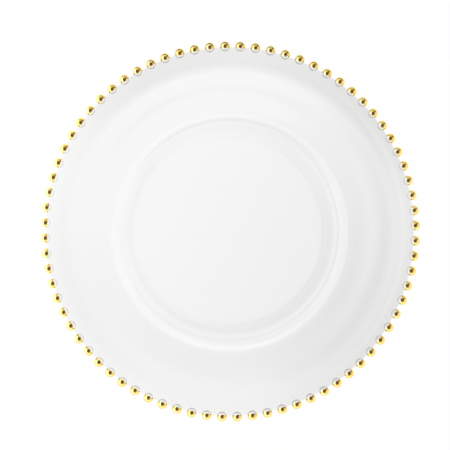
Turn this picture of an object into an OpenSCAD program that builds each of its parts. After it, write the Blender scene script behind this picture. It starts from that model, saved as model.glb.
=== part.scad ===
// Clear pressed-glass charger plate with a gilded beaded rim.
// The plate lies flat on its foot ring: +Z is up, and the origin is the centre of the ring's
// underside. One wall line runs from the well to the rim as a chain of straights and arcs.
// The glass is laid on both sides of that line, so the wall keeps its thickness throughout.

/* [Overall] */
// Diameter over the beads
overall_d = 330; // [310:1:350]
// Thickness of the pressed glass
glass_t = 4; // [3:0.1:4.6]

/* [Well] */
// Diameter of the flat floor, up to the start of the cove
floor_d = 181; // [164:1:192]
// Radius of the cove that turns the floor up into the shoulder
cove_r = 14; // [8:0.5:20]

/* [Shoulder] */
// Slope of the shoulder above the floor, in degrees
shoulder_slope = 30; // [20:1:40]
// Straight stretch of the shoulder between the cove and the brow
shoulder_len = 5.5; // [3:0.5:9]
// Radius of the brow that lays the shoulder over into the flange
brow_r = 8; // [6:0.5:14]

/* [Flange] */
// Slope of the flange, in degrees
flange_slope = 4; // [2:0.5:6]
// Height of the soft press waves on the upper face
wave_h = 0.3; // [0.1:0.05:0.5]
// Number of press waves across the flange
wave_count = 2; // [1:1:4]

/* [Rim] */
// Slope of the turned-up rim, in degrees
rim_slope = 16; // [8:1:24]
// Radius of the bend from the flange up to the rim
upturn_r = 36; // [20:1:60]
// Straight stretch of the rim, up to its edge
rim_len = 6.6; // [4:0.2:9]
// Radius that rounds the two corners of the upright edge
edge_ease = 0.6; // [0.3:0.1:1.2]

/* [Foot ring] */
// Height of the ring under the floor
foot_h = 1; // [0.6:0.1:2]
// Width of the ring where it leaves the floor
foot_w = 8.6; // [6:0.2:11]
// Width of the flat land that the plate rests on
foot_land = 2.2; // [1.5:0.1:3]
// Distance from the ring to the start of the cove
foot_inset = 1.5; // [0.5:0.5:4]

/* [Beads] */
// Number of beads round the rim
bead_count = 76; // [60:1:84]
// Diameter of a bead over its gilding
bead_d = 8.5; // [6.8:0.1:9.6]
// How far a bead's centre lies beyond the edge of the glass
bead_reach = 0.9; // [0.5:0.1:2]
// How far a bead's centre lies above the middle of the glass
bead_lift = 2; // [0.4:0.1:2.4]

/* [Gilding] */
// Thickness drawn for the fired gold, let in flush with the bead
gold_t = 0.3; // [0.2:0.05:0.5]
// Angle between the middle of the gold cap and the level, in degrees
gold_tilt = 17; // [10:1:40]

/* [Hidden] */
$fn = 96;

// Straight pieces in one arc, one press wave, one corner of the edge and one flank of the foot
arc_steps = 8;
wave_steps = 12;
corner_steps = 5;
flank_steps = 6;

half_t = glass_t / 2;
floor_r = floor_d / 2;
bead_r = bead_d / 2;
bead_circle_r = overall_d / 2 - bead_r;
edge_r = bead_circle_r - bead_reach;

// Bends of the wall line, so that the named radii are those of the face seen from above
cove_line_r = cove_r + half_t;
brow_line_r = brow_r - half_t;
upturn_line_r = upturn_r + half_t;

// The flange takes up what the other stretches leave between the floor and the edge
flange_len = (edge_r - floor_r
    - cove_line_r * sin(shoulder_slope)
    - shoulder_len * cos(shoulder_slope)
    - brow_line_r * (sin(shoulder_slope) - sin(flange_slope))
    - upturn_line_r * (sin(rim_slope) - sin(flange_slope))
    - rim_len * cos(rim_slope)) / cos(flange_slope);

// A station on the wall line is [distance from the axis, height, heading in degrees]
floor_start = [0, foot_h + half_t, 0];

// Stations along an arc from one station, turning up for a positive turn
function bend(from, radius, turn) = [
    for (i = [1 : arc_steps])
        let (heading = from[2] + turn * i / arc_steps, way = sign(turn))
        [
            from[0] + way * radius * (sin(heading) - sin(from[2])),
            from[1] + way * radius * (cos(from[2]) - cos(heading)),
            heading
        ]
];

// The station at the end of a straight run from one station
function run(from, length) = [
    from[0] + length * cos(from[2]),
    from[1] + length * sin(from[2]),
    from[2]
];

// The point of the glass face that lies off the wall line by a distance, up for a positive one
function face_point(station, off) = [
    station[0] - off * sin(station[2]),
    station[1] + off * cos(station[2])
];

floor_end = run(floor_start, floor_r);
cove = bend(floor_end, cove_line_r, shoulder_slope);
shoulder_end = run(cove[arc_steps - 1], shoulder_len);
brow = bend(shoulder_end, brow_line_r, flange_slope - shoulder_slope);
flange_start = brow[arc_steps - 1];
flange_end = run(flange_start, flange_len);
upturn = bend(flange_end, upturn_line_r, rim_slope - flange_slope);
rim_end = run(upturn[arc_steps - 1], rim_len);

bead_z = rim_end[1] + (bead_circle_r - rim_end[0]) * tan(rim_slope) + bead_lift;

// Upper face of the flange: cosine waves that start and end level with the plain wall
wave_points = [
    for (i = [1 : wave_count * wave_steps - 1])
        let (share = i / (wave_count * wave_steps), rise = (1 - cos(360 * wave_count * share)) / 2)
        face_point(run(flange_start, flange_len * share), half_t + wave_h * rise)
];

// One rounded corner of the upright edge, between two angles. Its centre lies off the wall line,
// and so far back along it that the rounding just reaches the edge.
function edge_corner(off, from, to) =
    let (
        back = (off * sin(rim_slope) - edge_ease) / cos(rim_slope),
        centre = face_point(run(rim_end, back), off)
    )
    [
        for (i = [0 : corner_steps])
            let (angle = from + (to - from) * i / corner_steps)
            [centre[0] + edge_ease * cos(angle), centre[1] + edge_ease * sin(angle)]
    ];

// The edge, from the upper face over both corners to the lower face
edge_points = concat(
    edge_corner(half_t - edge_ease, 90 + rim_slope, 0),
    edge_corner(edge_ease - half_t, 0, rim_slope - 90)
);

// Foot ring, from its outer to its inner flank: each flank is a half cosine wave
foot_flank = (foot_w - foot_land) / 2;
foot_outer_r = floor_r - foot_inset;
foot_inner_r = foot_outer_r - foot_w;
foot_points = concat(
    [
        for (i = [0 : flank_steps])
            let (share = i / flank_steps)
            [foot_outer_r - foot_flank * share, foot_h * (1 + cos(180 * share)) / 2]
    ],
    [
        for (i = [0 : flank_steps])
            let (share = i / flank_steps)
            [foot_inner_r + foot_flank * (1 - share), foot_h * (1 - cos(180 * share)) / 2]
    ]
);

// Half of the plate's section, to the right of its axis
module plate_section() {
    to_flange = concat([floor_end], cove, [shoulder_end], brow);
    to_edge = concat([flange_end], upturn);
    wall_line = concat(to_flange, to_edge);
    polygon(concat(
        [for (station = concat([floor_start], to_flange)) face_point(station, half_t)],
        wave_points,
        [for (station = to_edge) face_point(station, half_t)],
        edge_points,
        [for (i = [len(wall_line) - 1 : -1 : 0]) face_point(wall_line[i], -half_t)],
        foot_points,
        [face_point(floor_start, -half_t)]
    ));
}

// The outermost stretch of the plate, as far in as a bead can reach
module rim_ring() {
    rotate_extrude() {
        intersection() {
            plate_section();
            translate([bead_circle_r - bead_d, 0]) square([bead_d, bead_z + bead_d]);
        }
    }
}

// Places one copy at each bead, with +Z of the copy along the middle of the gold cap
module at_beads() {
    for (i = [0 : bead_count - 1]) {
        rotate([0, 0, 360 * i / bead_count])
            translate([bead_circle_r, 0, bead_z])
                rotate([0, 90 - gold_tilt, 0])
                    children();
    }
}

// Glass of one bead: a full ball on the bare side, and smaller by the gold on the gilded side
module bead_glass() {
    rotate_extrude() {
        intersection() {
            circle(r = bead_r - gold_t);
            translate([0, -bead_r]) square([bead_r, bead_d]);
        }
        intersection() {
            circle(r = bead_r);
            translate([0, -bead_r]) square([bead_r, bead_r]);
        }
    }
}

// Gold of one bead: a half-round shell that fills what the glass leaves of the ball
module gold_shell() {
    rotate_extrude() {
        intersection() {
            difference() {
                circle(r = bead_r);
                circle(r = bead_r - gold_t);
            }
            square([bead_r, bead_r]);
        }
    }
}

module glass_plate() {
    color([0.9, 0.94, 0.94, 0.5]) rotate_extrude() plate_section();
}

// The rim itself cuts the beads, so each one seats on the edge with no gap or overlap
module rim_beads() {
    color([0.86, 0.91, 0.92, 0.6]) {
        difference() {
            at_beads() bead_glass();
            rim_ring();
        }
    }
}

module gold_caps() {
    color([0.88, 0.7, 0.24]) at_beads() gold_shell();
}

glass_plate();
rim_beads();
gold_caps();
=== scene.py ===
"""Clear pressed-glass charger plate with a gilded beaded rim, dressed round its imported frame.

The glass is one closed surface: the plate is a section turned about its axis, and each bead is a
ball fused to the plate's edge. The gold is a thin film over a little more than half of every
bead. All lengths are in metres, in the frame's own axes: +Z up, the plate standing on z = 0.
"""
import math
from collections import namedtuple

import bpy
import numpy as np
from mathutils import Matrix, Vector


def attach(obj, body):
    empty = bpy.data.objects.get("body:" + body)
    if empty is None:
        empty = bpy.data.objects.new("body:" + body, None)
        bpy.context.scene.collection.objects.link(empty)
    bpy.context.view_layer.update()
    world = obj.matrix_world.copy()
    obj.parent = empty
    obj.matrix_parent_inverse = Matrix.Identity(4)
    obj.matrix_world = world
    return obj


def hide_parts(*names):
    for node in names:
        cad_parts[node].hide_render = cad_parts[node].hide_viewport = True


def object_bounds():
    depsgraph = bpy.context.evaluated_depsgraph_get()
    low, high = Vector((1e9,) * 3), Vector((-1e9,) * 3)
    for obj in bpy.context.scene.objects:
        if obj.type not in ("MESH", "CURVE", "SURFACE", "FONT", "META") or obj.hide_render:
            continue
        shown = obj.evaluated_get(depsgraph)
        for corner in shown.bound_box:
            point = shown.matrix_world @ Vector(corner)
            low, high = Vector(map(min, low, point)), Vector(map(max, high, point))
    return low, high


bl_info = {
    "name": "Beaded Glass Charger Plate",
    "version": (1, 0, 0),
    "blender": (4, 5, 0),
    "location": "3D Viewport > Sidebar > Charger Plate",
    "description": "Builds a clear glass charger plate with gilded beads, and its studio",
    "category": "Object",
}

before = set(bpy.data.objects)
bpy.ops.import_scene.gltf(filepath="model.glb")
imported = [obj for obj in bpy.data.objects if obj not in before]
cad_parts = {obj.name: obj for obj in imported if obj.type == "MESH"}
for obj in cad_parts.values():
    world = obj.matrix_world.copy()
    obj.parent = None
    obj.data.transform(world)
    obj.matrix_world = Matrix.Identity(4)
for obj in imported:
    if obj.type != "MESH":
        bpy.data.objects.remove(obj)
CAD_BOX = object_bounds()
OVERALL_D = CAD_BOX[1].x - CAD_BOX[0].x
BODY = "root"
MM = 0.001

# Straight pieces in each stretch of the plate's section
FLOOR_STEPS = 12
COVE_STEPS = 16
SHOULDER_STEPS = 3
BROW_STEPS = 14
WAVE_STEPS = 24
UPTURN_STEPS = 10
CORNER_STEPS = 8
FLANK_STEPS = 12
WELL_STEPS = 9

# The lower face of the flange is plain, so it takes one station in this many
PLAIN_STRIDE = 6

# Steps round the axis for each bead, and steps along and round one ball and one film
AROUND_PER_BEAD = 3
BALL_STEPS = 16
BALL_AROUND = 28
FILM_STEPS = 16
FILM_AROUND = 32

# Share of the sine wave that eases the ends of the foot's flanks
FLANK_EASE = 0.15

# Edges that turn by more than this stay sharp
GLASS_CREASE = math.radians(35.0)
GOLD_CREASE = math.radians(50.0)

WHITE = (1.0, 1.0, 1.0, 1.0)

# One soft band of painted light or painted shade on the sheet under the glass.
# depth: share of the light that is lost to painted shade, below 0 for painted light where the
# glass would gather it
# first, last: middle and width of a ring, or start and end of a slope, in millimetres
# side: direction from +X in radians; low, high: cosines off it where the band starts and is full
Band = namedtuple("Band", "depth first last side low high")

# Painted rings of shade and light inside and outside the foot, beside the shoulder, on the waves
# and along the edge
PAINTED_RINGS = (
    Band(0.022, 82.0, 3.0, -0.6, 0.4, 1.0),
    Band(0.035, 87.5, 3.0, -0.6, 0.5, 1.0),
    Band(0.042, 87.7, 3.0, -2.8, -0.2, 0.7),
    Band(0.03, 92.5, 4.0, 1.7, 0.3, 0.95),
    Band(-0.035, 93.0, 1.4, -0.4, 0.0, 0.9),
    Band(0.035, 95.4, 1.1, -0.25, -0.6, 0.9),
    Band(0.04, 97.2, 1.5, -2.4, 0.3, 0.95),
    Band(0.025, 108.0, 6.0, -0.45, 0.7, 1.0),
    Band(0.028, 126.3, 4.0, 1.7, 0.5, 1.0),
    Band(0.028, 138.0, 5.0, 0.2, 0.7, 1.0),
    Band(0.028, 142.1, 3.0, 1.7, 0.5, 1.0),
    Band(0.03, 147.5, 6.0, -2.9, 0.4, 0.95),
    Band(-0.05, 153.3, 2.2, -0.1, 0.2, 0.95),
)

# Painted slopes of shade and light that run on to the edge, on one side of the flange each
PAINTED_SLOPES = (
    Band(0.042, 102.0, 108.0, -2.4, 0.55, 1.0),
    Band(-0.02, 104.0, 110.0, 0.9, 0.4, 0.9),
    Band(0.03, 112.0, 125.0, -0.8, 0.8, 1.0),
    Band(-0.04, 124.0, 138.0, -1.65, 0.6, 0.98),
)


class PlateSizes(bpy.types.PropertyGroup):
    """Section of the plate: the frame's own driving sizes, with a softer edge."""

    glass_t: bpy.props.FloatProperty(
        name="Glass Thickness", description="Thickness of the pressed glass",
        default=4.0 * MM, unit="LENGTH")
    floor_d: bpy.props.FloatProperty(
        name="Floor Diameter", description="Flat floor of the well, up to the cove",
        default=181.0 * MM, unit="LENGTH")
    cove_r: bpy.props.FloatProperty(
        name="Cove Radius", description="Bend from the floor up to the shoulder",
        default=14.0 * MM, unit="LENGTH")
    shoulder_slope: bpy.props.FloatProperty(
        name="Shoulder Slope", description="Slope of the shoulder above the floor",
        default=math.radians(30.0), unit="ROTATION")
    shoulder_len: bpy.props.FloatProperty(
        name="Shoulder Length", description="Straight stretch of the shoulder",
        default=5.5 * MM, unit="LENGTH")
    brow_r: bpy.props.FloatProperty(
        name="Brow Radius", description="Bend from the shoulder over to the flange",
        default=8.0 * MM, unit="LENGTH")
    flange_slope: bpy.props.FloatProperty(
        name="Flange Slope", description="Slope of the flange",
        default=math.radians(4.0), unit="ROTATION")
    wave_h: bpy.props.FloatProperty(
        name="Wave Height", description="Height of the soft press waves on the flange",
        default=0.3 * MM, unit="LENGTH")
    wave_count: bpy.props.IntProperty(
        name="Waves", description="Press waves across the flange", default=2, min=1)
    rim_slope: bpy.props.FloatProperty(
        name="Rim Slope", description="Slope of the turned-up rim",
        default=math.radians(16.0), unit="ROTATION")
    upturn_r: bpy.props.FloatProperty(
        name="Upturn Radius", description="Bend from the flange up to the rim",
        default=36.0 * MM, unit="LENGTH")
    rim_len: bpy.props.FloatProperty(
        name="Rim Length", description="Straight stretch of the rim, up to its edge",
        default=6.6 * MM, unit="LENGTH")
    edge_ease: bpy.props.FloatProperty(
        name="Edge Ease", description="Rounding of the two corners of the upright edge",
        default=0.9 * MM, unit="LENGTH")
    foot_h: bpy.props.FloatProperty(
        name="Foot Height", description="Height of the ring under the floor",
        default=1.0 * MM, unit="LENGTH")
    foot_w: bpy.props.FloatProperty(
        name="Foot Width", description="Width of the ring where it leaves the floor",
        default=8.6 * MM, unit="LENGTH")
    foot_land: bpy.props.FloatProperty(
        name="Foot Land", description="Width of the flat land that the plate rests on",
        default=2.2 * MM, unit="LENGTH")
    foot_inset: bpy.props.FloatProperty(
        name="Foot Inset", description="Distance from the ring to the start of the cove",
        default=1.5 * MM, unit="LENGTH")


class BeadSizes(bpy.types.PropertyGroup):
    """The beads along the edge and the gold on them."""

    count: bpy.props.IntProperty(
        name="Beads", description="Number of beads round the rim", default=76, min=3)
    diameter: bpy.props.FloatProperty(
        name="Bead Diameter", description="Diameter of a bead over its gold",
        default=8.5 * MM, unit="LENGTH")
    reach: bpy.props.FloatProperty(
        name="Bead Reach", description="How far a bead's centre lies beyond the edge",
        default=0.9 * MM, unit="LENGTH")
    lift: bpy.props.FloatProperty(
        name="Bead Lift", description="How far a bead's centre lies above the middle of the glass",
        default=2.0 * MM, unit="LENGTH")
    film_t: bpy.props.FloatProperty(
        name="Film Thickness", description="Thickness drawn for the fired gold",
        default=0.12 * MM, unit="LENGTH")
    film_proud: bpy.props.FloatProperty(
        name="Film Proud", description="How far the film stands out of the glass ball",
        default=0.04 * MM, unit="LENGTH")
    film_lap: bpy.props.FloatProperty(
        name="Film Lap", description="How far the brushed gold laps past the half of the bead",
        default=math.radians(10.0), unit="ROTATION")
    gold_tilt: bpy.props.FloatProperty(
        name="Gold Tilt", description="Angle of the gold cap's middle above the level",
        default=math.radians(17.0), unit="ROTATION")


class Finishes(bpy.types.PropertyGroup):
    """Colours of the glass, the gold and the studio."""

    glass_tint: bpy.props.FloatVectorProperty(
        name="Glass Tint", description="Colour of the clear glass", subtype="COLOR",
        size=4, min=0.0, max=1.0, default=(0.995, 0.997, 0.995, 1.0))
    gold_colour: bpy.props.FloatVectorProperty(
        name="Gold Colour", description="Colour of the fired gold", subtype="COLOR",
        size=4, min=0.0, max=1.0, default=(0.98, 0.76, 0.22, 1.0))
    gold_pale: bpy.props.FloatVectorProperty(
        name="Pale Gold", description="Colour where the gold was brushed on thin",
        subtype="COLOR", size=4, min=0.0, max=1.0, default=(1.0, 0.88, 0.44, 1.0))
    floor_colour: bpy.props.FloatVectorProperty(
        name="Floor Colour", description="Colour of the pale floor", subtype="COLOR",
        size=4, min=0.0, max=1.0, default=(0.9, 0.9, 0.9, 1.0))


class StudioSizes(bpy.types.PropertyGroup):
    """Camera, floor and lamps."""

    camera_distance: bpy.props.FloatProperty(
        name="Camera Distance", description="From the camera to the plate's middle",
        default=1.5, unit="LENGTH")
    camera_lean: bpy.props.FloatProperty(
        name="Camera Lean", description="How far the view leans from straight down",
        default=math.radians(2.6), unit="ROTATION")
    camera_side: bpy.props.FloatProperty(
        name="Camera Side", description="Direction that the camera leans to, from +X",
        default=math.radians(158.6), unit="ROTATION")
    camera_roll: bpy.props.FloatProperty(
        name="Camera Roll", description="Turn of the picture about the line of sight",
        default=math.radians(1.9), unit="ROTATION")
    lens: bpy.props.FloatProperty(
        name="Lens", description="Focal length for a sensor 36 mm wide, in millimetres",
        default=138.24)
    camera_aim: bpy.props.FloatVectorProperty(
        name="Camera Aim", description="Point in the middle of the picture", subtype="XYZ",
        size=3, default=(-5.02 * MM, 6.06 * MM, 16.9 * MM), unit="LENGTH")
    floor_w: bpy.props.FloatProperty(
        name="Floor Width", description="Side of the square floor", default=12.0, unit="LENGTH")
    key_power: bpy.props.FloatProperty(
        name="Key Power", description="Power of the broad lamp on the left", default=6.0,
        unit="POWER")
    key_w: bpy.props.FloatProperty(
        name="Key Width", description="Side of the broad lamp", default=1.7, unit="LENGTH")
    key_distance: bpy.props.FloatProperty(
        name="Key Distance", description="From the plate to the broad lamp", default=1.9,
        unit="LENGTH")
    key_side: bpy.props.FloatProperty(
        name="Key Side", description="Direction of the broad lamp, from +X",
        default=math.radians(150.0), unit="ROTATION")
    key_height: bpy.props.FloatProperty(
        name="Key Height", description="Angle of the broad lamp above the floor",
        default=math.radians(35.0), unit="ROTATION")
    sky_strength: bpy.props.FloatProperty(
        name="Sky Strength", description="Strength of the even light all round", default=0.95)
    floor_white: bpy.props.FloatProperty(
        name="Floor White", description="Share of plain white that the camera sees on the floor",
        default=0.97, subtype="FACTOR", min=0.0, max=1.0)
    glass_white: bpy.props.FloatProperty(
        name="Glass White", description="Share of plain white on the floor seen through glass",
        default=0.93, subtype="FACTOR", min=0.0, max=1.0)
    # From here to the least bead shade: painted shade and painted light on the sheet under the
    # glass, seen only through it, as a falloff away from the key lamp and soft rings round the
    # axis
    painted_falloff: bpy.props.FloatProperty(
        name="Slope Loss", description="Loss of level per metre of sheet away from the key lamp",
        default=0.5)
    painted_middle_shade: bpy.props.FloatProperty(
        name="Middle Loss", description="Loss of level under the middle of the glass",
        default=0.033)
    painted_flange_shade: bpy.props.FloatProperty(
        name="Flange Loss", description="Loss under the flange, on the side away from the lamp",
        default=0.05)
    painted_foot_shade: bpy.props.FloatProperty(
        name="Foot Loss", description="Depth of the soft ring of shade that the foot throws",
        default=0.045)
    painted_shoulder_shade: bpy.props.FloatProperty(
        name="Shoulder Loss", description="Depth of the thin ring of shade under the shoulder",
        default=0.11)
    # Painted light: a thin bright ring on the sheet under the brow
    painted_brow_light: bpy.props.FloatProperty(
        name="Brow Gain", description="Light that the brow gathers in a thin ring",
        default=0.11)
    # Painted rings of light and shade for the press waves, with their pitch and first radius below
    painted_wave_light_and_shade: bpy.props.FloatProperty(
        name="Wave Gain", description="Light that the press waves gather and spread in rings",
        default=0.03)
    painted_ring_pitch: bpy.props.FloatProperty(
        name="Wave Pitch", description="Distance between two rings of the press waves",
        default=21.1 * MM, unit="LENGTH")
    painted_ring_first: bpy.props.FloatProperty(
        name="First Wave", description="Radius of the first ring of the press waves",
        default=114.0 * MM, unit="LENGTH")
    painted_rim_shade: bpy.props.FloatProperty(
        name="Rim Loss", description="Depth of the shade below the turned-up rim",
        default=0.14)
    painted_rim_shade_side: bpy.props.FloatProperty(
        name="Rim Shade Side", description="Direction of the darkest stretch of the rim, from +X",
        default=math.radians(80.0), unit="ROTATION")
    # Painted shade of the row of beads on the sheet outside the plate, seen through the glass
    bead_shade: bpy.props.FloatProperty(
        name="Bead Shade", description="Depth of the shade that the row of beads throws outside",
        default=0.47)
    bead_shade_least: bpy.props.FloatProperty(
        name="Least Bead Shade", description="Share of that shade on the left and right",
        default=0.36, subtype="FACTOR", min=0.0, max=1.0)
    # Painted dimming of the floor well beyond the plate, seen through the glass
    far_floor: bpy.props.FloatProperty(
        name="Far Floor", description="Level of the floor well beyond the plate, through glass",
        default=0.9)
    floor_gap: bpy.props.FloatProperty(
        name="Floor Gap", description="Air between the foot and the sheet",
        default=0.05 * MM, unit="LENGTH")
    sheet_end: bpy.props.FloatProperty(
        name="Sheet End", description="Where the white sheet ends, on the +Y side",
        default=0.2, unit="LENGTH")
    # Painted pool of light on the sheet near the key lamp, seen only in polished metal
    painted_pool_side: bpy.props.FloatProperty(
        name="Bright Sheet Side", description="Where the sheet is brighter, from +X",
        default=math.radians(168.0), unit="ROTATION")
    painted_pool_gain: bpy.props.FloatProperty(
        name="Bright Sheet Gain", description="How much brighter the sheet is on that side",
        default=1.0)
    table_side: bpy.props.FloatProperty(
        name="Table Side", description="Direction of the dark table behind the plate, from +X",
        default=math.radians(62.0), unit="ROTATION")
    table_top: bpy.props.FloatProperty(
        name="Table Top", description="Height of the dark table in the reflections, as a sine",
        default=0.14)
    table_share: bpy.props.FloatProperty(
        name="Table Share", description="How far the table above the floor hides the screen",
        default=0.8, subtype="FACTOR", min=0.0, max=1.0)
    table_level: bpy.props.FloatProperty(
        name="Table Level", description="Level of the dark table past the end of the sheet",
        default=0.12)
    table_colour: bpy.props.FloatVectorProperty(
        name="Table Colour", description="Colour of the dark table", subtype="COLOR",
        size=4, min=0.0, max=1.0, default=(1.0, 0.93, 0.85, 1.0))
    ceiling_half: bpy.props.FloatProperty(
        name="Ceiling Angle", description="From straight up to the edge of the dark ceiling",
        default=math.radians(38.0), unit="ROTATION")
    ceiling_level: bpy.props.FloatProperty(
        name="Ceiling Level", description="Level of the dark ceiling and the dark gap",
        default=0.155)
    ceiling_colour: bpy.props.FloatVectorProperty(
        name="Ceiling Colour", description="Colour of the dark ceiling", subtype="COLOR",
        size=4, min=0.0, max=1.0, default=(1.0, 0.54, 0.54, 1.0))
    gap_side: bpy.props.FloatProperty(
        name="Gap Side", description="Direction of the dark gap between screens, from +X",
        default=math.radians(42.0), unit="ROTATION")
    gap_half: bpy.props.FloatProperty(
        name="Gap Half Width", description="Half of the gap's width, as a sine",
        default=0.2)
    screen_bright: bpy.props.FloatProperty(
        name="Bright Screen", description="Level of the upper screen, on the side of the key lamp",
        default=1.6)
    screen_dim: bpy.props.FloatProperty(
        name="Dim Screen", description="Level of the upper screen on the other sides",
        default=0.6)
    bright_side: bpy.props.FloatProperty(
        name="Bright Screen Side", description="Direction of the bright screen, from +X",
        default=math.radians(175.0), unit="ROTATION")
    low_bright: bpy.props.FloatProperty(
        name="Bright Low Screen", description="Level near the floor, in front of the plate",
        default=1.4)
    low_dim: bpy.props.FloatProperty(
        name="Dim Low Screen", description="Level near the floor, on the right",
        default=1.1)
    front_side: bpy.props.FloatProperty(
        name="Front Side", description="Direction of the bright low screen, from +X",
        default=math.radians(215.0), unit="ROTATION")
    back_side: bpy.props.FloatProperty(
        name="Back Side", description="Direction behind the plate, from +X",
        default=math.radians(85.0), unit="ROTATION")
    back_share: bpy.props.FloatProperty(
        name="Back Share", description="What is left of the low screen behind the plate",
        default=0.92, subtype="FACTOR", min=0.0, max=1.0)
    screen_cool: bpy.props.FloatVectorProperty(
        name="Cool Screen", description="Colour of the upper screen, on the side of the key lamp",
        subtype="COLOR", size=4, min=0.0, max=2.0, default=(1.0, 1.03, 1.18, 1.0))
    cool_side: bpy.props.FloatProperty(
        name="Cool Side", description="Direction of the cool screen's middle, from +X",
        default=math.radians(190.0), unit="ROTATION")
    screen_warm: bpy.props.FloatVectorProperty(
        name="Warm Screen", description="Colour of the screens on the other sides",
        subtype="COLOR", size=4, min=0.0, max=2.0, default=(1.0, 0.97, 0.85, 1.0))


GROUPS = {
    "charger_plate": PlateSizes,
    "charger_beads": BeadSizes,
    "charger_finish": Finishes,
    "charger_studio": StudioSizes,
}


# The plate's section


def bend(start, radius, turn, steps):
    """Stations (distance, height, heading) along an arc from start: its centre lies square to
    the heading, above the line for a positive turn and below it for a negative one."""
    x, z, heading = start
    angle = heading + turn * np.arange(1, steps + 1) / steps
    way = math.copysign(1.0, turn)
    return np.column_stack([
        x + way * radius * (np.sin(angle) - math.sin(heading)),
        z + way * radius * (math.cos(heading) - np.cos(angle)),
        angle,
    ])


def run(start, length, steps=1):
    """Stations at even steps along the straight line that leaves start in its heading."""
    x, z, heading = start
    along = length * np.arange(1, steps + 1) / steps
    return np.column_stack([
        x + along * math.cos(heading),
        z + along * math.sin(heading),
        np.full(steps, heading),
    ])


def face(stations, off):
    """Points of the glass face that lies square off the wall line by off (one value or many)."""
    return np.column_stack([
        stations[:, 0] - off * np.sin(stations[:, 2]),
        stations[:, 1] + off * np.cos(stations[:, 2]),
    ])


class PlateLine:
    """The wall line from the axis to the rounded edge, worked out from the named sizes."""

    def __init__(self, plate, beads):
        half_t = plate.glass_t / 2
        cove_r = plate.cove_r + half_t
        brow_r = plate.brow_r - half_t
        upturn_r = plate.upturn_r + half_t
        self.half_t = half_t
        self.bead_circle_r = (OVERALL_D - beads.diameter) / 2
        edge_r = self.bead_circle_r - beads.reach
        sin, cos = math.sin, math.cos
        flange_len = (
            edge_r - plate.floor_d / 2
            - cove_r * sin(plate.shoulder_slope)
            - plate.shoulder_len * cos(plate.shoulder_slope)
            - brow_r * (sin(plate.shoulder_slope) - sin(plate.flange_slope))
            - upturn_r * (sin(plate.rim_slope) - sin(plate.flange_slope))
            - plate.rim_len * cos(plate.rim_slope)
        ) / cos(plate.flange_slope)
        middle = (0.0, plate.foot_h + half_t, 0.0)
        self.floor = run(middle, plate.floor_d / 2, FLOOR_STEPS)
        self.cove = bend(self.floor[-1], cove_r, plate.shoulder_slope, COVE_STEPS)
        self.shoulder = run(self.cove[-1], plate.shoulder_len, SHOULDER_STEPS)
        self.brow = bend(
            self.shoulder[-1], brow_r, plate.flange_slope - plate.shoulder_slope, BROW_STEPS)
        self.flange = run(self.brow[-1], flange_len, WAVE_STEPS * plate.wave_count)
        self.upturn = bend(
            self.flange[-1], upturn_r, plate.rim_slope - plate.flange_slope, UPTURN_STEPS)
        self.rim_end = run(self.upturn[-1], plate.rim_len)[0]
        self.bead_z = (
            self.rim_end[1]
            + (self.bead_circle_r - self.rim_end[0]) * math.tan(plate.rim_slope)
            + beads.lift
        )


def plate_section(plate, line):
    """Closed half section of the plate, from the axis over the upper face, round the edge and
    back along the lower face. The upper face of the flange is raised by cosine waves."""
    half_t = line.half_t
    share = np.arange(1, len(line.flange) + 1) / len(line.flange)
    wave = plate.wave_h * (1 - np.cos(2 * math.pi * plate.wave_count * share)) / 2

    # The edge stands upright. The centre of each corner's rounding lies one radius in from the
    # edge and one radius in from the face, so it sits on a line beside the wall line.
    slope, ease = plate.rim_slope, plate.edge_ease
    corners = []
    for off, turn in ((half_t - ease, (math.pi / 2 + slope, 0.0)),
                      (ease - half_t, (0.0, slope - math.pi / 2))):
        back = (off * math.sin(slope) - ease) / math.cos(slope)
        centre = face(run(line.rim_end, back), off)[0]
        angle = np.linspace(*turn, CORNER_STEPS + 1)
        corners.append(centre + ease * np.column_stack([np.cos(angle), np.sin(angle)]))
    edge = np.concatenate(corners)

    # The foot ring: two nearly straight flanks, each a line with a small sine wave that eases
    # both its ends, and the flat land between them
    outer = plate.floor_d / 2 - plate.foot_inset
    flank = (plate.foot_w - plate.foot_land) / 2
    t = np.linspace(0, 1, FLANK_STEPS + 1)
    fall = t - FLANK_EASE * np.sin(2 * np.pi * t) / (2 * np.pi)
    foot = np.concatenate([
        np.column_stack([outer - flank * t, plate.foot_h * (1 - fall)]),
        np.column_stack([outer - plate.foot_w + flank * (1 - t), plate.foot_h * fall]),
    ])
    plain = line.flange[PLAIN_STRIDE - 1::PLAIN_STRIDE]
    under = np.concatenate([line.cove, line.shoulder, line.brow, plain, line.upturn])
    inner_floor = foot[-1, 0] * np.linspace(1, 0, WELL_STEPS + 1)[1:-1]
    upper = np.concatenate([line.floor, line.cove, line.shoulder, line.brow])
    return np.concatenate([
        [[0.0, plate.foot_h + plate.glass_t]],
        face(upper, half_t),
        face(line.flange, half_t + wave),
        face(line.upturn, half_t),
        edge,
        face(under[::-1], -half_t),
        [[plate.floor_d / 2, plate.foot_h]],
        foot,
        np.column_stack([inner_floor, np.full(len(inner_floor), plate.foot_h)]),
        [[0.0, plate.foot_h]],
    ])


# Surfaces


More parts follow.
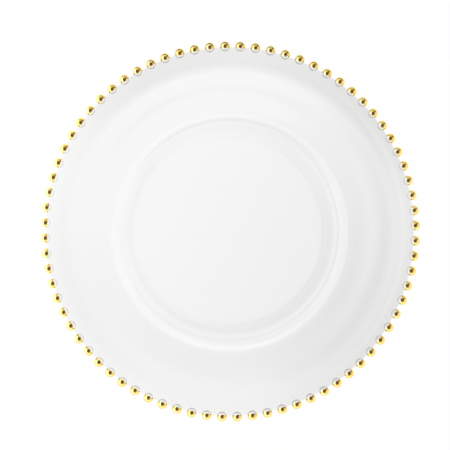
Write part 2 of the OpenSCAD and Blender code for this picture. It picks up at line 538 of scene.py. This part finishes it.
def turned(section, count):
    """Vertices and faces of a section (distance, height) turned about Z in count steps. Its
    first and last points lie on the axis, and each is one vertex with a fan of triangles."""
    angle = 2 * math.pi * np.arange(count) / count
    ring = section[1:-1]
    x = ring[:, :1] * np.cos(angle)
    y = ring[:, :1] * np.sin(angle)
    z = np.repeat(ring[:, 1:], count, axis=1)
    points = np.stack([x, y, z], axis=2).reshape(-1, 3)
    top = [0.0, 0.0, section[0, 1]]
    bottom = [0.0, 0.0, section[-1, 1]]
    points = np.concatenate([points, [top, bottom]])
    i = np.arange(len(ring) - 1)[:, None] * count
    j = np.arange(count)[None, :]
    k = (j + 1) % count
    quads = np.stack([i + j, i + count + j, i + count + k, i + k], axis=2).reshape(-1, 4)
    first = np.arange(count)
    after = (first + 1) % count
    last = (len(ring) - 1) * count
    fan_top = np.column_stack([np.full(count, len(points) - 2), first, after])
    fan_bottom = np.column_stack([np.full(count, len(points) - 1), last + after, last + first])
    return points, [quads, fan_top, fan_bottom]


def copies(points, faces, places):
    """The same surface once at each 4 x 4 place, as one set of vertices and faces."""
    homogeneous = np.column_stack([points, np.ones(len(points))])
    moved = np.einsum("kij,nj->kni", places, homogeneous)[:, :, :3].reshape(-1, 3)
    shift = (np.arange(len(places)) * len(points))[:, None, None]
    return moved, [(group[None] + shift).reshape(-1, group.shape[1]) for group in faces]


def ball_section(radius, steps):
    """Half circle from the upper pole to the lower one."""
    angle = np.linspace(0, math.pi, steps + 1)
    return np.column_stack([radius * np.sin(angle), radius * np.cos(angle)])


def film_section(radius, thickness, lap, steps):
    """Arc out from the pole to the cap's edge, a quarter circle and the lap long, and back on a
    smaller radius."""
    angle = np.linspace(0, math.pi / 2 + lap, steps + 1)
    outer = np.column_stack([radius * np.sin(angle), radius * np.cos(angle)])
    inner_r = radius - thickness
    inner = np.column_stack([inner_r * np.sin(angle), inner_r * np.cos(angle)])[::-1]
    return np.concatenate([outer, inner])


def bead_places(line, beads):
    """One 4 x 4 matrix for each bead: +Z of the copy runs along the middle of its gold cap,
    which leans out from the axis and up by the gold's tilt."""
    lean = Matrix.Rotation(math.pi / 2 - beads.gold_tilt, 4, "Y")
    out = Matrix.Translation((line.bead_circle_r, 0.0, line.bead_z))
    return np.array([
        Matrix.Rotation(2 * math.pi * i / beads.count, 4, "Z") @ out @ lean
        for i in range(beads.count)
    ])


def new_object(name, points, faces, material):
    """A mesh object from arrays, smooth, with its material."""
    mesh = bpy.data.meshes.new(name)
    mesh.from_pydata(points.tolist(), [], [f for group in faces for f in group.tolist()])
    mesh.polygons.foreach_set("use_smooth", np.ones(len(mesh.polygons), bool))
    mesh.materials.append(material)
    mesh.update()
    piece = bpy.data.objects.new(name, mesh)
    bpy.context.scene.collection.objects.link(piece)
    return piece


def settle(piece, slot, *nodes):
    """Rides the piece on the body and lets it stand for the nodes. The slot is not used."""
    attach(piece, BODY)
    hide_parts(*nodes)


# Materials


def new_material(name):
    """A material, its node tree and the output node, which is all that the tree holds."""
    material = bpy.data.materials.new(name)
    material.use_nodes = True
    tree = material.node_tree
    tree.nodes.clear()
    output = tree.nodes.new("ShaderNodeOutputMaterial")
    return material, tree, output


def add(tree, kind, **settings):
    """One node, its inputs set by name."""
    node = tree.nodes.new(kind)
    for key, value in settings.items():
        node.inputs[key.replace("_", " ")].default_value = value
    return node


def maths(tree, operation, *values):
    """One Math node: each value is a number or another node's output. Gives its output."""
    node = tree.nodes.new("ShaderNodeMath")
    node.operation = operation
    for socket, value in zip(node.inputs, values):
        if isinstance(value, bpy.types.NodeSocket):
            tree.links.new(value, socket)
        else:
            socket.default_value = value
    return node.outputs["Value"]


def smooth_step(tree, value, low, high):
    """Smooth step of a node's output, from 0 at low to 1 at high, which may be the smaller."""
    node = add(tree, "ShaderNodeMapRange", From_Min=low, From_Max=high)
    node.interpolation_type = "SMOOTHSTEP"
    tree.links.new(value, node.inputs["Value"])
    return node.outputs["Result"]


def reflected_only(tree, ray):
    """1 for rays that polished metal or the outside of the glass mirrors. Cycles also calls a
    ray that has passed through glass glossy, so those are taken off."""
    straight = maths(tree, "SUBTRACT", 1.0, ray.outputs["Is Transmission Ray"])
    return maths(tree, "MULTIPLY", ray.outputs["Is Glossy Ray"], straight)


def glass_material(finish):
    """Clear glass: a refracting body, hardly tinted, with the slow unevenness of a pressed
    surface in its bump and small dull patches in its roughness."""
    material, tree, output = new_material("clear_pressed_glass")
    links = tree.links
    body = add(tree, "ShaderNodeBsdfPrincipled", Base_Color=finish.glass_tint, IOR=1.5,
               Transmission_Weight=1.0)
    place = add(tree, "ShaderNodeTexCoord")
    slow = add(tree, "ShaderNodeTexNoise", Scale=26.0, Detail=2.0, Roughness=0.4)
    fine = add(tree, "ShaderNodeTexNoise", Scale=340.0, Detail=2.0, Roughness=0.5)
    rough = add(tree, "ShaderNodeMapRange", From_Min=0.35, From_Max=0.75, To_Min=0.0,
                To_Max=0.03)
    bump = add(tree, "ShaderNodeBump", Strength=0.25, Distance=0.0006)
    links.new(place.outputs["Object"], slow.inputs["Vector"])
    links.new(place.outputs["Object"], fine.inputs["Vector"])
    links.new(fine.outputs["Fac"], rough.inputs["Value"])
    links.new(rough.outputs["Result"], body.inputs["Roughness"])
    links.new(slow.outputs["Fac"], bump.inputs["Height"])
    links.new(bump.outputs["Normal"], body.inputs["Normal"])
    links.new(body.outputs["BSDF"], output.inputs["Surface"])
    return material


def gold_material(finish):
    """Fired gold lustre: bright metal, paler and duller where it was brushed on thin, with the
    same brushing in its bump."""
    material, tree, output = new_material("fired_gold_lustre")
    links = tree.links
    body = add(tree, "ShaderNodeBsdfPrincipled", Metallic=1.0, Specular_Tint=finish.gold_pale)
    place = add(tree, "ShaderNodeTexCoord")
    brush = add(tree, "ShaderNodeTexNoise", Scale=160.0, Detail=3.0, Roughness=0.55)
    colour = tree.nodes.new("ShaderNodeMix")
    colour.data_type = "RGBA"
    colour.inputs["A"].default_value = finish.gold_colour
    colour.inputs["B"].default_value = finish.gold_pale
    shade = add(tree, "ShaderNodeMapRange", From_Min=0.38, From_Max=0.72)
    rough = add(tree, "ShaderNodeMapRange", From_Min=0.3, From_Max=0.7, To_Min=0.04,
                To_Max=0.13)
    bump = add(tree, "ShaderNodeBump", Strength=0.12, Distance=0.0003)
    links.new(place.outputs["Object"], brush.inputs["Vector"])
    links.new(brush.outputs["Fac"], shade.inputs["Value"])
    links.new(shade.outputs["Result"], colour.inputs["Factor"])
    links.new(colour.outputs["Result"], body.inputs["Base Color"])
    links.new(brush.outputs["Fac"], rough.inputs["Value"])
    links.new(rough.outputs["Result"], body.inputs["Roughness"])
    links.new(brush.outputs["Fac"], bump.inputs["Height"])
    links.new(bump.outputs["Normal"], body.inputs["Normal"])
    links.new(body.outputs["BSDF"], output.inputs["Surface"])
    return material


class Sheet:
    """Painted patterns of shade and light on the floor round the plate's axis, as nodes of one
    material.
    """

    def __init__(self, tree):
        self.tree = tree
        place = add(tree, "ShaderNodeTexCoord")
        axes = add(tree, "ShaderNodeSeparateXYZ")
        tree.links.new(place.outputs["Object"], axes.inputs["Vector"])
        self.x, self.y = axes.outputs["X"], axes.outputs["Y"]
        self.out = self.radius()

    def along(self, side):
        """Distance from the axis in one direction."""
        part = maths(self.tree, "MULTIPLY", self.x, math.cos(side))
        return maths(self.tree, "MULTIPLY_ADD", self.y, math.sin(side), part)

    def radius(self, shift=0.0):
        """Distance from the point on the Y axis at shift: the root of the squares' sum."""
        off = maths(self.tree, "SUBTRACT", self.y, shift)
        square = maths(self.tree, "MULTIPLY", off, off)
        square = maths(self.tree, "MULTIPLY_ADD", self.x, self.x, square)
        return maths(self.tree, "POWER", square, 0.5)

    def toward(self, side):
        """Cosine of the angle between the way to the point and one direction."""
        distance = maths(self.tree, "MAXIMUM", self.out, 1.0 * MM)
        return maths(self.tree, "DIVIDE", self.along(side), distance)

    def step(self, value, low, high):
        """Smooth step from 0 at low to 1 at high."""
        return smooth_step(self.tree, value, low, high)

    def ring(self, distance, middle, width):
        """Bell curve exp(-((distance - middle) / width)^2)."""
        part = maths(self.tree, "SUBTRACT", distance, middle)
        part = maths(self.tree, "DIVIDE", part, width)
        square = maths(self.tree, "MULTIPLY", part, part)
        return maths(self.tree, "EXPONENT", maths(self.tree, "MULTIPLY", square, -1.0))

    def band(self, depth, profile, side, low, high):
        """A profile times its depth, faded in towards one side between two cosines."""
        part = maths(self.tree, "MULTIPLY", profile, self.step(self.toward(side), low, high))
        return maths(self.tree, "MULTIPLY", part, depth)

    def waves(self, studio):
        """Painted rings of light and shade for the press waves: cos(2 pi (out - first) / pitch),
        painted shade on one side of a diagonal and painted light on the other, strongest on the
        right, on the flange alone."""
        turn = 2 * math.pi / studio.painted_ring_pitch
        wave = maths(self.tree, "MULTIPLY_ADD", self.out, turn, -turn * studio.painted_ring_first)
        wave = maths(self.tree, "COSINE", wave)
        right = maths(self.tree, "MULTIPLY_ADD", self.toward(0.35), 0.5, 0.5)
        start = self.step(self.out, 100.0 * MM, 108.0 * MM)
        end = self.step(self.out, 156.0 * MM, 150.0 * MM)
        for share in (self.toward(-math.pi / 4), right, start, end):
            wave = maths(self.tree, "MULTIPLY", wave, share)
        return maths(self.tree, "MULTIPLY", wave, studio.painted_wave_light_and_shade)

    def loss(self, studio):
        """Share of the light that the sheet under the glass lacks, all of it painted: painted
        shade that falls off away from the key lamp, and painted bands of shade and light round the
        axis where the glass would shade and gather it."""
        out = self.out
        # Painted falloff of light away from the key lamp
        fall = maths(self.tree, "MULTIPLY_ADD", self.along(studio.key_side + math.pi),
                     studio.painted_falloff, studio.painted_middle_shade)
        total = maths(self.tree, "MAXIMUM", fall, 0.0)

        # Painted shade of the row of beads on the sheet, most at the top and bottom: the sine
        # squared
        least = studio.bead_shade_least
        sine = self.toward(math.pi / 2)
        share = maths(self.tree, "MULTIPLY", sine, sine)
        share = maths(self.tree, "MULTIPLY_ADD", share, 1.0 - least, least)
        beads = maths(self.tree, "MULTIPLY", self.step(out, 168.0 * MM, 173.0 * MM), share)

        # Profiles of the painted rings and slopes of shade and light
        flange = self.step(out, 94.0 * MM, 104.0 * MM)
        foot = self.ring(out, 86.0 * MM, 5.8 * MM)
        shoulder = self.ring(self.radius(1.6 * MM), 97.2 * MM, 1.9 * MM)
        brow = self.ring(self.radius(-1.0 * MM), 102.4 * MM, 1.8 * MM)
        rim = self.step(out, 139.0 * MM, 150.0 * MM)
        parts = [
            self.band(studio.painted_flange_shade, flange, -0.25, -0.2, 0.9),
            self.band(studio.painted_foot_shade, foot, -0.5, -1.1, 1.0),
            self.band(studio.painted_shoulder_shade, shoulder, 1.5, 0.3, 0.97),
            self.band(-studio.painted_brow_light, brow, -2.3, -0.5, 0.8),
            self.band(studio.painted_rim_shade, rim, studio.painted_rim_shade_side, 0.2, 0.9),
            maths(self.tree, "MULTIPLY", beads, studio.bead_shade),
            self.waves(studio),
        ]
        for row in PAINTED_RINGS:
            profile = self.ring(out, row.first * MM, row.last * MM)
            parts.append(self.band(row.depth, profile, row.side, row.low, row.high))
        for row in PAINTED_SLOPES:
            profile = self.step(out, row.first * MM, row.last * MM)
            parts.append(self.band(row.depth, profile, row.side, row.low, row.high))
        for part in parts:
            total = maths(self.tree, "ADD", total, part)
        return maths(self.tree, "MAXIMUM", total, 0.0)


def floor_material(finish, studio):
    """Pale floor: nearly white to the camera and through the glass, and it keeps the plate's
    shadow. Through the glass it carries painted shade and painted light. Polished metal sees a
    painted pool of light near the key lamp, and where the sheet ends, past the plate on the +Y
    side."""
    material, tree, output = new_material("pale_floor")
    links = tree.links
    lit = add(tree, "ShaderNodeBsdfDiffuse", Color=finish.floor_colour)
    white = add(tree, "ShaderNodeEmission", Color=WHITE)
    ray = tree.nodes.new("ShaderNodeLightPath")
    sheet = Sheet(tree)

    # How much of the plain white each kind of ray sees instead of the lit floor
    direct = maths(tree, "MULTIPLY", ray.outputs["Is Camera Ray"], studio.floor_white)
    through = maths(tree, "MULTIPLY", ray.outputs["Is Transmission Ray"], studio.glass_white)
    mirrored = maths(tree, "MULTIPLY", ray.outputs["Is Glossy Ray"], studio.glass_white)
    share = maths(tree, "MAXIMUM", direct, maths(tree, "MAXIMUM", through, mirrored))
    mix = tree.nodes.new("ShaderNodeMixShader")
    links.new(share, mix.inputs["Fac"])
    links.new(lit.outputs["BSDF"], mix.inputs[1])
    links.new(white.outputs["Emission"], mix.inputs[2])

    # Through the glass the sheet has its painted shades and painted light, and well beyond the
    # plate it is painted dimmer
    level = maths(tree, "SUBTRACT", 1.0, sheet.loss(studio))
    beyond = maths(tree, "MULTIPLY_ADD", sheet.step(sheet.out, 240.0 * MM, 500.0 * MM),
                   studio.far_floor - 1.0, 1.0)
    level = maths(tree, "MINIMUM", level, beyond)
    loss = maths(tree, "MULTIPLY", maths(tree, "SUBTRACT", 1.0, level),
                 ray.outputs["Is Transmission Ray"])
    level = maths(tree, "SUBTRACT", 1.0, loss)

    # Polished metal also sees a painted pool of light on the sheet near the key lamp, where it is
    # brighter
    glossy = reflected_only(tree, ray)
    painted_pool_mask = sheet.step(sheet.along(studio.painted_pool_side), 100.0 * MM, 190.0 * MM)
    painted_pool_mask = maths(tree, "MULTIPLY", painted_pool_mask, glossy)
    level = maths(tree, "MULTIPLY_ADD", painted_pool_mask, studio.painted_pool_gain, level)
    links.new(level, white.inputs["Strength"])

    # Past the end of the sheet the table is dark, seen by reflected rays alone
    soft = 10.0 * MM
    past = sheet.step(sheet.y, studio.sheet_end - soft, studio.sheet_end + soft)
    dark = maths(tree, "MULTIPLY", glossy, past)
    table = add(tree, "ShaderNodeEmission", Color=studio.table_colour,
                Strength=studio.table_level)
    whole = tree.nodes.new("ShaderNodeMixShader")
    links.new(dark, whole.inputs["Fac"])
    links.new(mix.outputs["Shader"], whole.inputs[1])
    links.new(table.outputs["Emission"], whole.inputs[2])
    links.new(whole.outputs["Shader"], output.inputs["Surface"])
    return material


def studio_world(studio):
    """The studio all round: white to the camera and even for the light that it sheds. Metal and
    glass mirror its parts: the dark ceiling round the camera, the dark gap between two screens
    that runs down from it, the low dark table behind the plate, and the brighter screen on the
    side of the key lamp. The two numbers of each fade are the sines or cosines between which a
    part comes in."""
    world = bpy.data.worlds.new("studio")
    world.use_nodes = True
    tree = world.node_tree
    links = tree.links
    tree.nodes.clear()
    output = tree.nodes.new("ShaderNodeOutputWorld")
    ray = tree.nodes.new("ShaderNodeLightPath")
    direction = add(tree, "ShaderNodeTexCoord").outputs["Generated"]

    def along(azimuth, height=0.0):
        """Cosine of the angle between the ray and a fixed direction."""
        node = tree.nodes.new("ShaderNodeVectorMath")
        node.operation = "DOT_PRODUCT"
        node.inputs[1].default_value = (
            math.cos(azimuth) * math.cos(height), math.sin(azimuth) * math.cos(height),
            math.sin(height))
        links.new(direction, node.inputs[0])
        return node.outputs["Value"]

    def fade(value, low, high):
        """Smooth step of a cosine or a sine, from 0 at low to 1 at high."""
        return smooth_step(tree, value, low, high)

    def share_mix(share, first, second):
        """From the first value to the second one as the share goes up. Both are numbers, or both
        are nodes' outputs."""
        if isinstance(first, bpy.types.NodeSocket):
            more = maths(tree, "SUBTRACT", second, first)
        else:
            more = second - first
        return maths(tree, "MULTIPLY_ADD", share, more, first)

    def colour_mix(share, first, second):
        """Colour Mix node: from the first colour to the second one as the share goes up."""
        node = tree.nodes.new("ShaderNodeMix")
        node.data_type = "RGBA"
        for socket, value in ((node.inputs["A"], first), (node.inputs["B"], second)):
            if isinstance(value, bpy.types.NodeSocket):
                links.new(value, socket)
            else:
                socket.default_value = value
        links.new(share, node.inputs["Factor"])
        return node.outputs["Result"]

    # The dark parts: a cap round straight up, a vertical stripe on one side, and a low strip
    up = along(0.0, math.pi / 2)
    soft = 0.05
    ceiling = fade(up, math.cos(studio.ceiling_half + soft), math.cos(studio.ceiling_half - soft))
    across = maths(tree, "ABSOLUTE", along(studio.gap_side + math.pi / 2))
    gap = maths(tree, "MULTIPLY", fade(across, studio.gap_half + 0.04, studio.gap_half - 0.04),
                fade(along(studio.gap_side), 0.0, 0.2))
    table = maths(tree, "MULTIPLY", fade(up, studio.table_top + 0.05, studio.table_top - 0.02),
                  fade(along(studio.table_side), 0.4, 0.75))
    table = maths(tree, "MULTIPLY", table, studio.table_share)
    dark = maths(tree, "MAXIMUM", maths(tree, "MAXIMUM", ceiling, gap), table)

    # The screens: an upper and a lower one, each with a brighter side, and both dimmer behind
    high = share_mix(fade(along(studio.bright_side), 0.25, 0.8),
                     studio.screen_dim, studio.screen_bright)
    low = share_mix(fade(along(studio.front_side), -0.6, 0.4),
                    studio.low_dim, studio.low_bright)
    level = share_mix(fade(up, 0.5, 0.4), high, low)
    level = maths(tree, "MULTIPLY", level,
                  share_mix(fade(along(studio.back_side), 0.35, 0.85), 1.0, studio.back_share))
    shown = maths(tree, "MULTIPLY", level, maths(tree, "SUBTRACT", 1.0, dark))
    shown = maths(tree, "MULTIPLY_ADD", dark, studio.ceiling_level, shown)

    # Camera rays see white, reflected rays see the studio's parts, and the rest is even
    seen = reflected_only(tree, ray)
    even = maths(tree, "SUBTRACT", 1.0, seen)
    strength = maths(tree, "MULTIPLY", even, studio.sky_strength)
    strength = maths(tree, "MULTIPLY_ADD", seen, shown, strength)
    others = maths(tree, "SUBTRACT", 1.0, ray.outputs["Is Camera Ray"])
    strength = maths(tree, "MULTIPLY_ADD", strength, others, ray.outputs["Is Camera Ray"])
    sides = colour_mix(fade(along(studio.cool_side), -0.3, 0.6),
                       studio.screen_warm, studio.screen_cool)
    hue = colour_mix(seen, WHITE, colour_mix(dark, sides, studio.ceiling_colour))
    sky = tree.nodes.new("ShaderNodeBackground")
    links.new(hue, sky.inputs["Color"])
    links.new(strength, sky.inputs["Strength"])
    links.new(sky.outputs["Background"], output.inputs["Surface"])
    return world


# Operators


class CHARGER_OT_glass(bpy.types.Operator):
    """Build the pressed glass: the plate and the beads fused to its edge"""

    bl_idname = "charger.glass"
    bl_label = "Build Pressed Glass"

    def execute(self, context):
        scene = context.scene
        plate, beads = scene.charger_plate, scene.charger_beads
        line = PlateLine(plate, beads)
        glass = glass_material(scene.charger_finish)
        points, faces = turned(plate_section(plate, line), AROUND_PER_BEAD * beads.count)
        piece = new_object("pressed_glass", points, faces, glass)
        radius = beads.diameter / 2 - beads.film_proud
        points, faces = turned(ball_section(radius, BALL_STEPS), BALL_AROUND)
        points, faces = copies(points, faces, bead_places(line, beads))
        balls = new_object("bead_balls", points, faces, glass)
        fuse = piece.modifiers.new("fuse_beads", "BOOLEAN")
        fuse.operation = "UNION"
        fuse.solver = "EXACT"
        fuse.object = balls
        context.view_layer.objects.active = piece
        bpy.ops.object.modifier_apply(modifier=fuse.name)
        bpy.data.objects.remove(balls)
        piece.data.polygons.foreach_set("use_smooth", np.ones(len(piece.data.polygons), bool))
        piece.data.set_sharp_from_angle(angle=GLASS_CREASE)
        settle(piece, "clear_glass", "glass_plate", "rim_beads")
        return {"FINISHED"}


class CHARGER_OT_gold(bpy.types.Operator):
    """Lay the gold film on the outer and upper half of every bead, and a little past it"""

    bl_idname = "charger.gold"
    bl_label = "Gild the Beads"

    def execute(self, context):
        scene = context.scene
        beads = scene.charger_beads
        line = PlateLine(scene.charger_plate, beads)
        film = film_section(beads.diameter / 2, beads.film_t, beads.film_lap, FILM_STEPS)
        points, faces = turned(film, FILM_AROUND)
        points, faces = copies(points, faces, bead_places(line, beads))
        gold = gold_material(scene.charger_finish)
        piece = new_object("bead_gilding", points, faces, gold)
        piece.data.set_sharp_from_angle(angle=GOLD_CREASE)
        settle(piece, "gold_lustre", "gold_caps")
        return {"FINISHED"}


class CHARGER_OT_studio(bpy.types.Operator):
    """Set the pale floor, the soft light all round, the lamp and the camera above the plate"""

    bl_idname = "charger.studio"
    bl_label = "Set the Studio"

    def execute(self, context):
        scene = context.scene
        studio = scene.charger_studio
        half = studio.floor_w / 2
        low = -studio.floor_gap
        corners = np.array([
            [-half, -half, low], [half, -half, low], [half, half, low], [-half, half, low]])
        floor = new_object("floor", corners, [np.array([[0, 1, 2, 3]])],
                           floor_material(scene.charger_finish, studio))
        self.light(context, studio)
        self.camera(context, studio)
        return {"FINISHED"}

    def light(self, context, studio):
        """The light all round, and the broad lamp on the left. The lamp itself isn't mirrored
        or seen through the glass: the screens of the world are what the plate shows."""
        context.scene.world = studio_world(studio)
        lamp = bpy.data.lights.new("key", "AREA")
        lamp.energy = studio.key_power
        lamp.size = studio.key_w
        key = bpy.data.objects.new("key", lamp)
        key.visible_glossy = False
        key.visible_transmission = False
        context.scene.collection.objects.link(key)
        away = Vector((
            math.cos(studio.key_side) * math.cos(studio.key_height),
            math.sin(studio.key_side) * math.cos(studio.key_height),
            math.sin(studio.key_height),
        ))
        key.location = away * studio.key_distance
        key.rotation_mode = "QUATERNION"
        key.rotation_quaternion = away.to_track_quat("Z", "Y")

    def camera(self, context, studio):
        """A long lens nearly straight above. The picture's up is +Y, turned by the roll."""
        data = bpy.data.cameras.new("camera")
        data.sensor_width = 36.0
        data.lens = studio.lens
        camera = bpy.data.objects.new("camera", data)
        context.scene.collection.objects.link(camera)
        lean = studio.camera_lean
        away = Vector((
            math.sin(lean) * math.cos(studio.camera_side),
            math.sin(lean) * math.sin(studio.camera_side),
            math.cos(lean),
        ))
        up = Vector((math.sin(studio.camera_roll), math.cos(studio.camera_roll), 0.0))
        right = up.cross(away).normalized()
        up = away.cross(right)
        turn = Matrix((right, up, away)).transposed()
        place = Vector(studio.camera_aim) + away * studio.camera_distance
        camera.matrix_world = Matrix.Translation(place) @ turn.to_4x4()
        context.scene.camera = camera


class CHARGER_PT_panel(bpy.types.Panel):
    """Sizes, finishes and build steps of the charger plate."""

    bl_idname = "CHARGER_PT_panel"
    bl_label = "Charger Plate"
    bl_space_type = "VIEW_3D"
    bl_region_type = "UI"
    bl_category = "Charger Plate"

    def draw(self, context):
        layout = self.layout
        for name, group in GROUPS.items():
            box = layout.box()
            settings = getattr(context.scene, name)
            for key in group.__annotations__:
                box.prop(settings, key)
        for step in STEPS:
            layout.operator(step.bl_idname)


STEPS = (CHARGER_OT_glass, CHARGER_OT_gold, CHARGER_OT_studio)
CLASSES = (*GROUPS.values(), *STEPS, CHARGER_PT_panel)


def register():
    """Registers the classes and hangs each group of settings on the scene."""
    for cls in CLASSES:
        bpy.utils.register_class(cls)
    for name, group in GROUPS.items():
        setattr(bpy.types.Scene, name, bpy.props.PointerProperty(type=group))


def unregister():
    """Takes the settings off the scene and unregisters the classes."""
    for name in GROUPS:
        delattr(bpy.types.Scene, name)
    for cls in reversed(CLASSES):
        bpy.utils.unregister_class(cls)


def main():
    """Registers and builds the whole scene."""
    register()
    bpy.context.scene.view_settings.view_transform = "Standard"
    bpy.ops.charger.glass()
    bpy.ops.charger.gold()
    bpy.ops.charger.studio()


if __name__ == "__main__":
    main()
